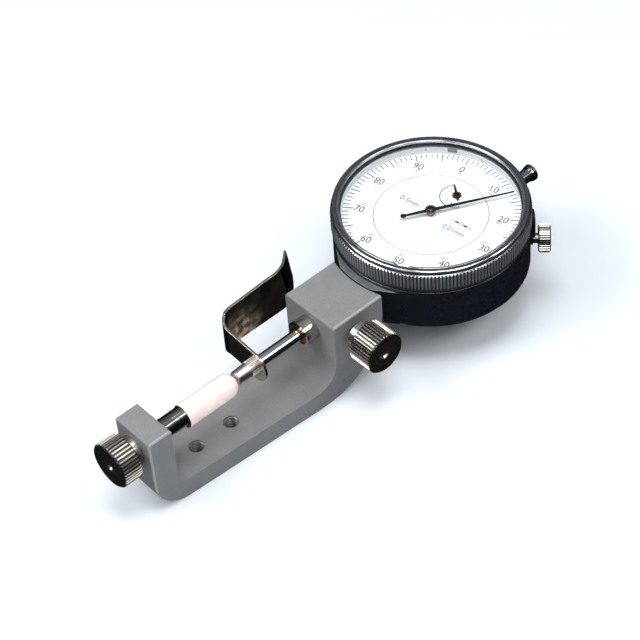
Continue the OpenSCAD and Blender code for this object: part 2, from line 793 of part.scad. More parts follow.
// The fold and the flare behind it, across the fold line
module flare_plan() {
    outer = flare_bend_r + lever_t;
    translate([-4, 0]) square([4, lever_t]);
    translate([0, outer]) {
        intersection() {
            difference() {
                circle(outer);
                circle(flare_bend_r);
            }
            polygon([[0, 0], [0, -2 * outer], [2 * outer * tan(flare_angle), -2 * outer]]);
        }
        rotate(flare_angle) translate([0, -outer]) square([2 * flare_len, lever_t]);
    }
}

// The arm's outline across the axis, from the eye to the bend
module arm_outline() {
    circle(lever_eye_r);
    polygon([[0, -lever_eye_r + 1.1], [lever_side - lever_bend_r, -3.2],
        [lever_side + 1, -thumb_down + 1], [lever_side + 1, thumb_up - 0.2],
        [lever_side - lever_bend_r, 6.1], [0, lever_eye_r]]);
}

// The thumb plate's outline from the side, with its lower rear corner rounded
module thumb_outline() {
    end = lever_len + flare_len;
    corner = 8.5;
    difference() {
        polygon([[lever_bend_r / 2, -thumb_down], [end + 1, -thumb_down],
            [end, thumb_up + 1.1], [lever_len - 4, thumb_up + 1.1],
            [lever_bend_r / 2, thumb_up]]);
        translate([end + 1, -thumb_down]) mirror([1, 0]) corner_waste(corner);
    }
}

module lifting_lever() {
    tall = 2 * lever_side;
    color([0.55, 0.52, 0.45]) translate([lever_x, 0, axis_h]) difference() {
        intersection() {
            union() {
                translate([0, 0, -tall / 2]) linear_extrude(tall) lever_plan();
                translate([lever_len, lever_side - lever_t, 0]) rotate([0, -flare_lean, 0])
                    translate([0, 0, -tall / 2]) linear_extrude(tall) flare_plan();
            }
            union() {
                translate([-1, 0, 0]) rotate([90, 0, 90])
                    linear_extrude(lever_bend_r / 2 + 1.01) arm_outline();
                translate([0, tall, 0]) rotate([90, 0, 0])
                    linear_extrude(2 * tall) thumb_outline();
            }
        }
        translate([-1, 0, 0]) rotate([0, 90, 0])
            cylinder(d = stud_d + 2 * seat_fit, h = lever_t + 2);
    }
}

module plunger_cap() {
    start = 0.9;
    sleeve_len = cap_out - cap_flange_t - start;
    flange_r = cap_flange_d / 2;
    neck = cap_sleeve_d / 2;
    end = sleeve_len + cap_flange_t;
    color([0.4, 0.4, 0.42]) on_axis(dial_x + case_r + start) difference() {
        rotate_extrude() polygon([[0, 0], [neck, 0], [neck, sleeve_len - 0.5],
            [neck - 0.2, sleeve_len - 0.4], [neck - 0.2, sleeve_len],
            [flange_r - 0.15, sleeve_len], [flange_r - 0.1, sleeve_len + 0.35],
            [flange_r - 0.35, sleeve_len + 0.4], [flange_r - 0.35, sleeve_len + 0.65],
            [flange_r, sleeve_len + 0.75], [flange_r, end - 0.15],
            [flange_r - 0.15, end], [0, end]]);
        translate([0, 0, -1]) cylinder(d = plunger_d - 0.8 + 2 * seat_fit, h = sleeve_len + 1);
    }
}

// The arbor and the small pinion that the rack turns
module rack_pinion() {
    low = axis_h - 1;
    color([0.65, 0.63, 0.55]) translate([dial_x + rack_arbor_x, rack_arbor_y, 0]) {
        translate([0, 0, low]) linear_extrude(2)
            gear_outline(rack_pinion_teeth, rack_module, -90);
        translate([0, 0, low - 0.8]) cylinder(d = arbor_d, h = plate_z + plate_t - low + 0.8);
    }
}

module rack_gear() {
    phase = rack_mesh_angle + 180 + 180 / gear_teeth;
    color([0.8, 0.67, 0.35]) translate([dial_x + rack_arbor_x, rack_arbor_y, gear_z])
        difference() {
            linear_extrude(gear_t) gear_outline(gear_teeth, gear_module, phase);
            translate([0, 0, -1]) cylinder(d = arbor_d + 2 * seat_fit, h = gear_t + 2);
        }
}

// The centre arbor carries the pointer and the pinion that both large gears drive
module centre_arbor() {
    pinion_z = gear_z - 0.4;
    color([0.65, 0.63, 0.55]) {
        translate([dial_x, 0, pinion_z]) linear_extrude(gear_t + 0.8)
            gear_outline(centre_teeth, gear_module, rack_mesh_angle);
        translate([dial_x, 0, bridge_z]) cylinder(d = arbor_d, h = dial_z + 2.4 - bridge_z);
    }
}

module take_up_gear() {
    phase = 180 - centre_phase * centre_teeth / gear_teeth + 180 / gear_teeth;
    color([0.8, 0.67, 0.35]) translate([dial_x + arbor_offset, 0, gear_z]) difference() {
        linear_extrude(gear_t) gear_outline(gear_teeth, gear_module, phase);
        translate([0, 0, -1]) cylinder(d = arbor_d + 2 * seat_fit, h = gear_t + 2);
    }
}

module counter_arbor() {
    color([0.65, 0.63, 0.55]) translate([dial_x + arbor_offset, 0, bridge_z])
        cylinder(d = arbor_d, h = dial_z + 0.7 - bridge_z);
}

module counter_hub() {
    color([0.75, 0.62, 0.35]) translate([dial_x + arbor_offset, 0, dial_z + 0.2])
        difference() {
            cylinder(r1 = 1.1, r2 = 0.9, h = 0.75);
            translate([0, 0, -1]) cylinder(d = arbor_d + 2 * seat_fit, h = 1.5);
        }
}

module counter_hand() {
    color([0.08, 0.08, 0.08])
        translate([dial_x + arbor_offset, 0, dial_z + counter_hand_z]) rotate(counter_angle)
            linear_extrude(hand_t) difference() {
                union() {
                    circle(1.35);
                    polygon([[-2.2, -0.3], [0, -0.45], [counter_len, -0.18],
                        [counter_len, 0.18], [0, 0.45], [-2.2, 0.3]]);
                }
                circle(1.15);
            }
}

module pointer_collet() {
    color([0.75, 0.75, 0.77]) on_dial(0.5) difference() {
        cylinder(r1 = 1.25, r2 = 1.5, h = 1);
        translate([0, 0, -1]) cylinder(d = arbor_d + 2 * seat_fit, h = 3);
    }
}

module pointer_hub() {
    color([0.62, 0.42, 0.22]) on_dial(pointer_z + hand_t) difference() {
        union() {
            cylinder(r = 1.65, h = 0.35);
            translate([0, 0, 0.35]) cylinder(r1 = 1.65, r2 = 1.15, h = 0.45);
        }
        translate([0, 0, -1]) cylinder(d = arbor_d + 2 * seat_fit, h = 1.7);
    }
}

module main_pointer() {
    color([0.05, 0.05, 0.05]) on_dial(pointer_z) rotate(-pointer_reading)
        linear_extrude(hand_t) difference() {
            union() {
                circle(1.5);
                polygon([[-pointer_tail + 0.85, -0.38], [0, -0.62], [pointer_len, -0.2],
                    [pointer_len, 0.2], [0, 0.62], [-pointer_tail + 0.85, 0.38]]);
                translate([-pointer_tail + 0.85, 0]) circle(0.85);
            }
            circle(d = arbor_d + 2 * seat_fit);
        }
}

// The knurled ring that turns on the case's neck and carries the scale and the crystal
module bezel() {
    root_r = bezel_r - bezel_tooth_depth;
    wall_r = bezel_r - 0.5;
    core_r = neck_r - 1;
    knurl_end = knurl_top + 0.4;
    reach = 0.1;
    color([0.2, 0.21, 0.23]) on_dial() difference() {
        union() {
            intersection() {
                translate([0, 0, knurl_low]) linear_extrude(knurl_end - knurl_low)
                    polygon(rim_points(bezel_teeth, bezel_r, root_r, 0.2, 0.8));
                rotate_extrude() polygon([[core_r, knurl_low - 1],
                    [bezel_r + reach, knurl_low - 1], [bezel_r + reach, knurl_top - 0.8 * reach],
                    [wall_r, knurl_end], [wall_r, knurl_end + 1], [core_r, knurl_end + 1]]);
            }
            rotate_extrude() polygon([[core_r, bezel_low], [root_r - 0.3, bezel_low],
                [root_r, bezel_low + 0.3], [root_r, knurl_low], [wall_r, knurl_low + 0.2],
                [wall_r, bezel_top - 0.3], [wall_r - 0.3, bezel_top], [core_r, bezel_top]]);
        }
        translate([0, 0, bezel_low - 1])
            cylinder(r = neck_r + run_fit, h = 1 - disc_t - bezel_low);
        translate([0, 0, spring_z - 0.1])
            cylinder(r = neck_r + 0.45, h = spring_wire_t + 0.2);
        translate([0, 0, -disc_t])
            cylinder(r = scale_r + seat_fit, h = crystal_low + disc_t + 1);
        translate([0, 0, crystal_low]) cylinder(r = lip_r, h = bezel_top);
    }
}

// A split wire in the facing grooves of the neck and the bezel
module bezel_spring() {
    color([0.6, 0.6, 0.62]) on_dial(spring_z) difference() {
        ring(neck_r + 0.4, neck_r - 0.45, spring_wire_t);
        translate([0, -1, -1]) cube([neck_r + 2, 2, 3]);
    }
}

module crystal() {
    color([0.85, 0.9, 0.92, 0.3]) on_dial(crystal_low + crystal_gap)
        cylinder(r = lip_r - seat_fit, h = crystal_t - 2 * crystal_gap);
}

// A split ring that holds the crystal down in the bezel's groove
module crystal_ring() {
    inner = scale_r + 0.2;
    outer = lip_r - seat_fit;
    ring_t = bezel_top - crystal_low - crystal_t;
    gap_angle = 209;
    gap_w = 3.6;
    color([0.3, 0.31, 0.33]) on_dial(crystal_low + crystal_t) difference() {
        rotate_extrude() polygon([[inner, 0], [outer, 0], [outer, ring_t - 0.15],
            [outer - 0.15, ring_t], [inner + 0.2, ring_t], [inner, ring_t - 0.2]]);
        rotate(gap_angle) translate([inner - 1, -gap_w / 2, -1])
            cube([outer - inner + 2, gap_w, ring_t + 2]);
    }
}

module scale_ring() {
    color([0.94, 0.95, 0.96]) on_dial(-disc_t) ring(scale_r, centre_disc_r + 0.1, disc_t);
}

// A thin split ring under the crystal, with one tab that reaches down the bezel's wall
module scale_clamp_ring() {
    wall = 0.3;
    high = crystal_low - 0.02;
    low = crystal_low - 0.4;
    tab_low = 1.1;
    tab_w = 2.8;
    tab_angle = 31.5;
    gap_angle = 160;
    color([0.5, 0.51, 0.52]) on_dial() {
        difference() {
            translate([0, 0, low]) ring(scale_r, scale_r - wall, high - low);
            rotate(gap_angle) translate([scale_r - 1, -0.75, low - 1]) cube([2, 1.5, 2]);
        }
        intersection() {
            translate([0, 0, tab_low]) ring(scale_r, scale_r - wall, high - tab_low);
            rotate(tab_angle) translate([scale_r - 1, -tab_w / 2, 0])
                cube([2, tab_w, high]);
        }
    }
}

module centre_disc() {
    color([0.94, 0.95, 0.96]) on_dial(-disc_t) difference() {
        cylinder(r = centre_disc_r, h = disc_t);
        translate([0, 0, -1]) cylinder(r = 1, h = 3);
        translate([arbor_offset, 0, -1]) cylinder(r = 0.9, h = 3);
    }
}

// A narrow tongue outside the bezel's knurl, with a thin foot on the case round its screw
module clamp_shoe() {
    inner = bezel_r + 0.1;
    outer = inner + shoe_t;
    foot_in = case_r + face_gap;
    foot_out = foot_in + 0.6;
    foot_low = -shoe_drop - shoe_w / 2;
    foot_high = -shoe_drop + shoe_w / 2;
    tongue_high = -0.1;
    inner_low = bezel_low - 0.3;
    color([0.06, 0.06, 0.07]) on_dial() rotate(-shoe_angle) difference() {
        intersection() {
            rotate([90, 0, 90]) linear_extrude(2 * bezel_r) union() {
                translate([0, -shoe_drop]) circle(d = shoe_w);
                translate([-shoe_w / 2, -shoe_drop])
                    square([shoe_w, shoe_drop + tongue_high]);
            }
            rotate_extrude() polygon([[foot_in, foot_low - 1], [foot_out, foot_low - 1],
                [foot_out, foot_high], [outer, foot_high + 0.3],
                [outer, tongue_high - 3.5], [outer - 0.2, tongue_high - 1.2],
                [inner + 0.3, tongue_high], [inner, tongue_high], [inner, inner_low],
                [foot_in, inner_low]]);
        }
        translate([0, 0, -shoe_drop]) rotate([0, 90, 0])
            cylinder(d = shoe_screw_d + 2 * run_fit, h = 2 * bezel_r);
    }
}

shoe_head_x = bezel_r + shoe_t + 0.9;

module shoe_screw() {
    start = case_in_r + 0.3;
    color([0.6, 0.6, 0.62]) on_shoe(start)
        cylinder(d = shoe_screw_d, h = shoe_head_x + shoe_head_t / 2 - start);
}

module shoe_head() {
    bevel = 0.4;
    head_r = shoe_head_d / 2;
    color([0.82, 0.82, 0.82]) on_shoe(shoe_head_x) difference() {
        intersection() {
            linear_extrude(shoe_head_t)
                polygon(rim_points(36, head_r, head_r - 0.25, 0.3, 0.75));
            rotate_extrude() polygon([[0, 0], [head_r - bevel, 0], [head_r, bevel],
                [head_r, shoe_head_t - bevel], [head_r - bevel, shoe_head_t],
                [0, shoe_head_t]]);
        }
        translate([0, 0, -1]) cylinder(d = shoe_screw_d + 2 * run_fit, h = shoe_head_t / 2 + 1.1);
    }
}

frame();
anvil_rod();
anvil_knob();
capsule_shell();
clamp_screw();
clamp_pad();
clamp_knob();
stem();
stem_bush_front();
stem_bush_rear();
upper_bush();
case_body();
back_cover();
cover_screws();
movement_plate();
gear_bridge();
bridge_pillars();
bridge_screws();
spring_post();
return_spring();
pin_guide();
hairspring();
hairspring_stud();
plunger();
contact_point();
lifting_lever();
plunger_cap();
guide_pin();
rack_pinion();
rack_gear();
centre_arbor();
pointer_collet();
pointer_hub();
main_pointer();
counter_arbor();
take_up_gear();
counter_hub();
counter_hand();
bezel();
bezel_spring();
crystal();
crystal_ring();
scale_ring();
scale_clamp_ring();
centre_disc();
clamp_shoe();
shoe_screw();
shoe_head();
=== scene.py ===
"""Looks of the capsule thickness gauge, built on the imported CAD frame.

Lengths and places are in millimetres and are multiplied by MM where Blender takes metres.
"""
import math

import bmesh
import bpy
from mathutils import Matrix, Vector


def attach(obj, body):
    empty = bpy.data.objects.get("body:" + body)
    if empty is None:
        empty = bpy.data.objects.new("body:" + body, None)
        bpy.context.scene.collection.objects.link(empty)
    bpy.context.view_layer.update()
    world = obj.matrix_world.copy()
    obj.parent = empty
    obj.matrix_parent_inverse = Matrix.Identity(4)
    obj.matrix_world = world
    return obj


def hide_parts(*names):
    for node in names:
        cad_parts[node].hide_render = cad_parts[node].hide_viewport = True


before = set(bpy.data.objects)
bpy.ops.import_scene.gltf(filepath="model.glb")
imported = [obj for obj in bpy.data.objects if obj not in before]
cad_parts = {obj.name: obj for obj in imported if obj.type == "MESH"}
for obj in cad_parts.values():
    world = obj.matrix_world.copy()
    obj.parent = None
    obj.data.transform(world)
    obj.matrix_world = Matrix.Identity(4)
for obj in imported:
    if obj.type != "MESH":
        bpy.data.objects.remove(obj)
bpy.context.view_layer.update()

MM = 0.001
# Measures of the CAD frame: the measuring axis, the dial's face, the stem clamp and the bezel clamp
AXIS_Z = 22.0
DIAL_X = 85.55
DIAL_Z = 33.0
CLAMP_X = 45.25
SHOE_Z = DIAL_Z - 10
SHOE_ANGLE = math.radians(-45)
CASE_R = 28.7
BOSS_TOP = 28.3
CAPSULE_DROP = 0.51
CAPSULE_STRAIGHT_X = 5.8
BASE_HOLE_R = 2.25
BASE_HOLE_X = 6.35
BAR_TOP = 6.6
ANVIL_KNOB_X = -36.2
ANVIL_KNOB_R = 7.0
CLAMP_KNOB_Y = -24.0
CLAMP_KNOB_R = 6.5
# The counter's arbor, from the dial's centre, and the dial's printing
ARBOR_OFFSET = 10.45
SCALE_ZERO = math.radians(19.68)
CENTRE_TILT = math.radians(8)
PRINT_T = 0.02
NUMBER_R = 20.9
TICK_END_R = 25.9
DISC_JOINT_R = 16.62
COUNTER_SCALE_R = 5.0
ARROWS_RIGHT = 9.6
ARROWS_UP = 1.7
# From each number of the scale to its backward number, to the right and up, from 0 clockwise
BACKWARD_PLACES = ((0, -1.7), (0, -2.3), (-0.6, -1.8), (-0.7, 2.2), (-0.7, 2.2),
                   (-0.2, 2.3), (0.5, 2.1), (0.4, 2.1), (0.4, -1.8), (0.3, -1.9))


# ---- camera, floor and lights

CAMERA_TURN = -0.6797169
CAMERA_RISE = 0.8007902
CAMERA_ROLL = -0.0834110
CAMERA_OFFSET = Vector((-31.911954, -30.492293, 636.030178))
CAMERA_TARGET = Vector((85.56, 0, 33.03))
CAMERA_LENS = 2212.10638 * 36 / 640


def add_camera():
    """The camera solved from the photo, with a plain view transform for its clear whites."""
    back = Vector((math.sin(CAMERA_TURN) * math.cos(CAMERA_RISE),
                   -math.cos(CAMERA_TURN) * math.cos(CAMERA_RISE), math.sin(CAMERA_RISE)))
    right = Vector((math.cos(CAMERA_TURN), math.sin(CAMERA_TURN), 0))
    up = back.cross(right)
    c, s = math.cos(CAMERA_ROLL), math.sin(CAMERA_ROLL)
    turn = Matrix((c * right + s * up, c * up - s * right, back)).transposed()
    data = bpy.data.cameras.new("camera")
    data.lens = CAMERA_LENS
    data.sensor_width = 36
    data.clip_start = 0.01
    data.clip_end = 20
    camera = bpy.data.objects.new("camera", data)
    camera.matrix_world = Matrix.Translation((turn @ CAMERA_OFFSET + CAMERA_TARGET) * MM) @ turn.to_4x4()
    bpy.context.scene.collection.objects.link(camera)
    bpy.context.scene.camera = camera
    bpy.context.scene.view_settings.view_transform = "Standard"


def linear(r, g, b):
    """A colour given as it looks on screen, 0 to 255, as the linear colour that shaders take."""
    return tuple(v / 12.92 if v <= 0.04045 else ((v + 0.055) / 1.055) ** 2.4
                 for v in (r / 255, g / 255, b / 255)) + (1.0,)


def add_floor():
    """A pale floor just under the gauge, in metres."""
    data = bpy.data.meshes.new("floor")
    size, level = 4.0, -5e-5
    corners = [(-size, -size, level), (size, -size, level), (size, size, level), (-size, size, level)]
    data.from_pydata(corners, [], [(0, 1, 2, 3)])
    floor = bpy.data.objects.new("floor", data)
    bpy.context.scene.collection.objects.link(floor)
    paint = Finish("floor_paint", linear(232, 238, 244), 0.9)
    floor.data.materials.append(paint.mat)
    floor.visible_glossy = False


def add_area(name, place, target, size, power):
    """A square area lamp at place, facing target. size is in metres and power in watts."""
    data = bpy.data.lights.new(name, "AREA")
    data.shape = "SQUARE"
    data.size = size
    data.energy = power
    light = bpy.data.objects.new(name, data)
    light.location = Vector(place) * MM
    light.rotation_euler = (Vector(target) * MM - light.location).to_track_quat("-Z", "Y").to_euler()
    bpy.context.scene.collection.objects.link(light)


def add_lights():
    """A large soft key from the left, a top fill, and three lamps that the metal mirrors to the camera."""
    add_area("key_softbox", (-420, 250, 560), (40, 0, 20), 0.42, 3.4)
    add_area("top_fill", (20, -60, 800), (50, 0, 20), 0.36, 3.3)
    add_area("camera_softbox", (-270, -420, 600), (50, 0, 20), 0.3, 1.1)
    add_area("rod_softbox", (350, -385, 520), (30, 0, 22), 0.22, 1.0)
    add_area("cone_softbox", (75, -430, 590), (24, 0, 22), 0.16, 0.5)


def add_world():
    """A dim studio that is darkest at the horizon and below it."""
    world = bpy.data.worlds.new("studio")
    bpy.context.scene.world = world
    world.use_nodes = True
    nodes, links = world.node_tree.nodes, world.node_tree.links
    background = nodes["Background"]
    coords = nodes.new("ShaderNodeTexCoord")
    split = nodes.new("ShaderNodeSeparateXYZ")
    ramp = nodes.new("ShaderNodeValToRGB")
    links.new(coords.outputs["Generated"], split.inputs[0])
    links.new(split.outputs["Z"], ramp.inputs["Fac"])
    ramp.color_ramp.elements[0].position = 0.0
    ramp.color_ramp.elements[0].color = (0.012, 0.012, 0.014, 1)
    ramp.color_ramp.elements[1].position = 0.9
    ramp.color_ramp.elements[1].color = (0.34, 0.35, 0.37, 1)
    middle = ramp.color_ramp.elements.new(0.35)
    middle.color = (0.06, 0.062, 0.066, 1)
    links.new(ramp.outputs["Color"], background.inputs["Color"])
    background.inputs["Strength"].default_value = 1.0


# ---- materials

class Finish:
    """A node material round one Principled shader, with patterns in the object's own metres."""

    def __init__(self, name, colour, roughness, metallic=0.0):
        self.mat = bpy.data.materials.new(name)
        self.mat.use_nodes = True
        self.nodes = self.mat.node_tree.nodes
        self.links = self.mat.node_tree.links
        self.shader = self.nodes["Principled BSDF"]
        self.shader.inputs["Base Color"].default_value = colour
        self.shader.inputs["Roughness"].default_value = roughness
        self.shader.inputs["Metallic"].default_value = metallic
        self.coords = self.nodes.new("ShaderNodeTexCoord").outputs["Object"]
        self.height = None

    def set(self, **values):
        """Sets the shader's own values. An underscore stands for a space in a name."""
        for name, value in values.items():
            self.shader.inputs[name.replace("_", " ")].default_value = value
        return self

    def noise(self, size, detail=3.0, coords=None, stretch=None):
        """A noise pattern whose features are about size millimetres across."""
        node = self.nodes.new("ShaderNodeTexNoise")
        node.inputs["Scale"].default_value = 1 / (size * MM)
        node.inputs["Detail"].default_value = detail
        source = coords or self.coords
        if stretch:
            scale = self.nodes.new("ShaderNodeVectorMath")
            scale.operation = "MULTIPLY"
            scale.inputs[1].default_value = stretch
            self.links.new(source, scale.inputs[0])
            source = scale.outputs[0]
        self.links.new(source, node.inputs["Vector"])
        return node.outputs["Fac"]

    def ramp(self, factor, stops):
        """Colours by factor. stops are (position, colour) pairs."""
        node = self.nodes.new("ShaderNodeValToRGB")
        elements = node.color_ramp.elements
        for element, (place, colour) in zip(elements, (stops[0], stops[-1])):
            element.position = place
            element.color = colour
        for place, colour in stops[1:-1]:
            elements.new(place).color = colour
        self.links.new(factor, node.inputs["Fac"])
        return node.outputs["Color"]

    def mix(self, factor, first, second):
        """first where factor is 0 and second where it is 1. Each may be a socket or a value."""
        node = self.nodes.new("ShaderNodeMix")
        node.data_type = "RGBA"
        sockets = [s for s in node.inputs if s.enabled]
        for socket, value in zip(sockets, (factor, first, second)):
            if hasattr(value, "links"):
                self.links.new(value, socket)
            else:
                socket.default_value = value
        return [s for s in node.outputs if s.enabled][0]

    def spread(self, factor, low, high, start=0.3, end=0.7):
        """factor from start to end mapped to low to high."""
        node = self.nodes.new("ShaderNodeMapRange")
        for name, value in (("From Min", start), ("From Max", end), ("To Min", low), ("To Max", high)):
            node.inputs[name].default_value = value
        self.links.new(factor, node.inputs["Value"])
        return node.outputs["Result"]

    def colour(self, socket):
        self.links.new(socket, self.shader.inputs["Base Color"])
        return self

    def rough(self, factor, low, high):
        self.links.new(self.spread(factor, low, high), self.shader.inputs["Roughness"])
        return self

    def bump(self, factor, depth, strength=1.0):
        """Raises the surface by up to depth millimetres. Each call adds to the last."""
        node = self.nodes.new("ShaderNodeBump")
        node.inputs["Distance"].default_value = depth * MM
        node.inputs["Strength"].default_value = strength
        self.links.new(factor, node.inputs["Height"])
        if self.height:
            self.links.new(self.height, node.inputs["Normal"])
        self.height = node.outputs["Normal"]
        self.links.new(self.height, self.shader.inputs["Normal"])
        return self

    def turned(self, origin, axis):
        """Coordinates (along the axis, distance from it, 0) for lathe marks, and that distance. In metres."""
        shift = self.nodes.new("ShaderNodeVectorMath")
        shift.operation = "SUBTRACT"
        shift.inputs[1].default_value = Vector(origin) * MM
        self.links.new(self.coords, shift.inputs[0])
        along = self.nodes.new("ShaderNodeVectorMath")
        along.operation = "DOT_PRODUCT"
        along.inputs[1].default_value = Vector(axis)
        self.links.new(shift.outputs[0], along.inputs[0])
        cross = self.nodes.new("ShaderNodeVectorMath")
        cross.operation = "CROSS_PRODUCT"
        cross.inputs[1].default_value = Vector(axis)
        self.links.new(shift.outputs[0], cross.inputs[0])
        radial = self.nodes.new("ShaderNodeVectorMath")
        radial.operation = "LENGTH"
        self.links.new(cross.outputs[0], radial.inputs[0])
        join = self.nodes.new("ShaderNodeCombineXYZ")
        self.links.new(along.outputs["Value"], join.inputs["X"])
        self.links.new(radial.outputs["Value"], join.inputs["Y"])
        return join.outputs[0], radial.outputs["Value"]


GAUGE_AXIS = ((0, 0, AXIS_Z), (1, 0, 0))
CLAMP_AXIS = ((CLAMP_X, 0, AXIS_Z), (0, 1, 0))
DIAL_AXIS = ((DIAL_X, 0, DIAL_Z), (0, 0, 1))
SHOE_AXIS = ((DIAL_X, 0, SHOE_Z), (math.cos(SHOE_ANGLE), math.sin(SHOE_ANGLE), 0))


def cast_paint(name="cast_paint", shade=12):
    """Grey cast paint with a fine mottle. shade lightens it; the lightened copy is a painted highlight on the
    casting's long rounded edges.
    """
    m = Finish(name, linear(116 + shade, 117 + shade, 117 + shade), 0.5)
    grain = m.noise(0.32, 5)
    blotch = m.noise(7, 3)
    fine = m.ramp(grain, [(0.3, linear(108 + shade, 110 + shade, 111 + shade)),
                          (0.5, linear(117 + shade, 118 + shade, 118 + shade)),
                          (0.72, linear(128 + shade, 129 + shade, 128 + shade))])
    m.colour(m.mix(m.spread(blotch, 0.0, 0.55), fine, linear(106 + shade, 108 + shade, 110 + shade)))
    m.rough(blotch, 0.46, 0.6)
    m.bump(grain, 0.018, 0.5)
    m.bump(m.noise(1.4, 2), 0.04, 0.35)
    return m.set(Specular_IOR_Level=0.35).mat


def nickel(name, axis, shaded_groove=None, tint=(206, 201, 192), rough=(0.16, 0.3)):
    """Bright plated metal with lathe marks. shaded_groove is the pair of radii between which it darkens
    inwards: painted shade at the roots of the grooves.
    """
    m = Finish(name, linear(*tint), rough[0], 1.0)
    coords, radial = m.turned(*axis)
    marks = m.noise(0.3, 2, coords)
    cloud = m.noise(2.5, 3)
    base = m.ramp(cloud, [(0.3, linear(*[v - 14 for v in tint])), (0.7, linear(*tint))])
    if shaded_groove:
        depth = m.spread(radial, 0.0, 1.0, shaded_groove[0] * MM, shaded_groove[1] * MM)
        # painted shade: the metal darkens towards the roots of the serrations' grooves
        base = m.mix(depth, linear(30, 27, 24), base)
    m.colour(base)
    m.rough(marks, *rough)
    m.bump(marks, 0.001, 0.4)
    return m.mat


def dark_turned(name, axis):
    """Metal coloured near black for the knobs' dished ends, a painted dark reflection, with faint turning
    rings.
    """
    m = Finish(name, linear(30, 28, 26), 0.16, 1.0)
    marks = m.noise(0.6, 2, m.turned(*axis)[0])
    cloud = m.noise(1.5, 3)
    m.colour(m.ramp(cloud, [(0.35, linear(26, 25, 24)), (0.65, linear(44, 42, 40))]))
    m.rough(cloud, 0.14, 0.2)
    m.bump(marks, 0.0002, 0.3)
    return m.mat


def polished(name, axis, tint, rough=(0.08, 0.16)):
    """Ground and polished steel, a little clouded."""
    m = Finish(name, linear(*tint), rough[0], 1.0)
    marks = m.noise(0.3, 2, m.turned(*axis)[0])
    smudge = m.noise(3, 3)
    m.colour(m.ramp(smudge, [(0.3, linear(*[v - 12 for v in tint])), (0.7, linear(*tint))]))
    m.rough(smudge, *rough)
    m.bump(marks, 0.001, 0.3)
    return m.mat


def lever_metal(name="lever_metal", with_painted_reflection=False):
    """Dark polished nickel strip. With with_painted_reflection it has a dull warm patch inside its bend, a
    painted reflection.
    """
    m = Finish(name, linear(66, 62, 56), 0.1, 1.0)
    metal = m.ramp(m.noise(4, 4), [(0.3, linear(44, 41, 36)), (0.7, linear(82, 77, 69))])
    m.bump(m.noise(0.15, 2, stretch=(0.04, 0.04, 1)), 0.003, 0.3)
    if not with_painted_reflection:
        return m.colour(metal).mat
    # painted reflection: a dull warm patch inside the bend, round the given point
    patch_distance = m.nodes.new("ShaderNodeVectorMath")
    patch_distance.operation = "DISTANCE"
    patch_distance.inputs[1].default_value = Vector((25.0, 15.6, 17.8)) * MM
    m.links.new(m.coords, patch_distance.inputs[0])
    near = m.spread(patch_distance.outputs["Value"], 1.0, 0.0, 1.5 * MM, 9.5 * MM)
    reflection_patch = m.mix(near, (0, 0, 0, 1), m.ramp(m.noise(3, 3), [(0.3, (0, 0, 0, 1)), (0.6, (1, 1, 1, 1))]))
    m.colour(m.mix(reflection_patch, metal, linear(216, 190, 158)))
    m.links.new(m.spread(reflection_patch, 1.0, 0.0, 0.0, 1.0), m.shader.inputs["Metallic"])
    m.links.new(m.spread(reflection_patch, 0.1, 0.42, 0.0, 1.0), m.shader.inputs["Roughness"])
    return m.mat


def black_enamel():
    """Glossy black enamel with a fine pale speckle."""
    m = Finish("black_enamel", linear(20, 22, 28), 0.3)
    speck = m.noise(0.28, 4)
    cloud = m.noise(5, 4)
    base = m.ramp(speck, [(0.35, linear(10, 14, 21)), (0.62, linear(20, 27, 37)), (0.74, linear(66, 76, 88))])
    m.colour(m.mix(m.spread(cloud, 0.0, 0.7), base, linear(12, 17, 27)))
    m.rough(cloud, 0.22, 0.38)
    m.bump(speck, 0.015, 0.5)
    return m.set(Coat_Weight=0.35, Coat_Roughness=0.15, Specular_IOR_Level=0.6).mat


def boss_satin():
    """Satin grey metal on top of the stem's boss."""
    m = Finish("boss_satin", linear(112, 117, 121), 0.32, 0.35)
    m.colour(m.ramp(m.noise(1.2, 4), [(0.3, linear(98, 104, 108)), (0.7, linear(126, 131, 135))]))
    m.rough(m.noise(0.4, 3), 0.26, 0.4)
    m.bump(m.noise(0.25, 3), 0.006, 0.4)
    return m.mat


def bezel_metal():
    """Dark anodised ring with a painted highlight on its knurl's ridges."""
    m = Finish("bezel_metal", linear(96, 99, 104), 0.34, 0.75)
    coords, radial = m.turned(*DIAL_AXIS)
    marks = m.noise(0.1, 2, coords)
    # painted highlight: the knurl's outermost radii are lightened
    ridge_highlight = m.spread(radial, 0.0, 1.0, 28.72 * MM, 28.96 * MM)
    base = m.ramp(m.noise(2, 3), [(0.3, linear(74, 77, 82)), (0.7, linear(96, 99, 103))])
    m.colour(m.mix(ridge_highlight, base, linear(176, 180, 184)))
    m.rough(marks, 0.3, 0.46)
    m.bump(marks, 0.004, 0.4)
    return m.mat


def bezel_wall():
    """The bezel's inner wall, coloured near white as a painted reflection of the dial's white."""
    m = Finish("bezel_wall", linear(208, 212, 215), 0.3, 0.25)
    coords = m.turned(*DIAL_AXIS)[0]
    m.colour(m.ramp(m.noise(0.3, 3, coords), [(0.35, linear(196, 200, 204)), (0.65, linear(224, 227, 229))]))
    m.rough(m.noise(1.5, 3), 0.24, 0.4)
    m.bump(m.noise(0.1, 2, coords), 0.003, 0.4)
    return m.mat


def plain_metal(name, tint, rough=(0.25, 0.4)):
    """Lightly clouded metal with no lathe marks."""
    m = Finish(name, linear(*tint), rough[0], 1.0)
    cloud = m.noise(0.8, 4)
    m.colour(m.ramp(cloud, [(0.3, linear(*[v * 0.86 for v in tint])), (0.7, linear(*tint))]))
    m.rough(cloud, *rough)
    m.bump(m.noise(0.2, 3), 0.004, 0.4)
    return m.mat


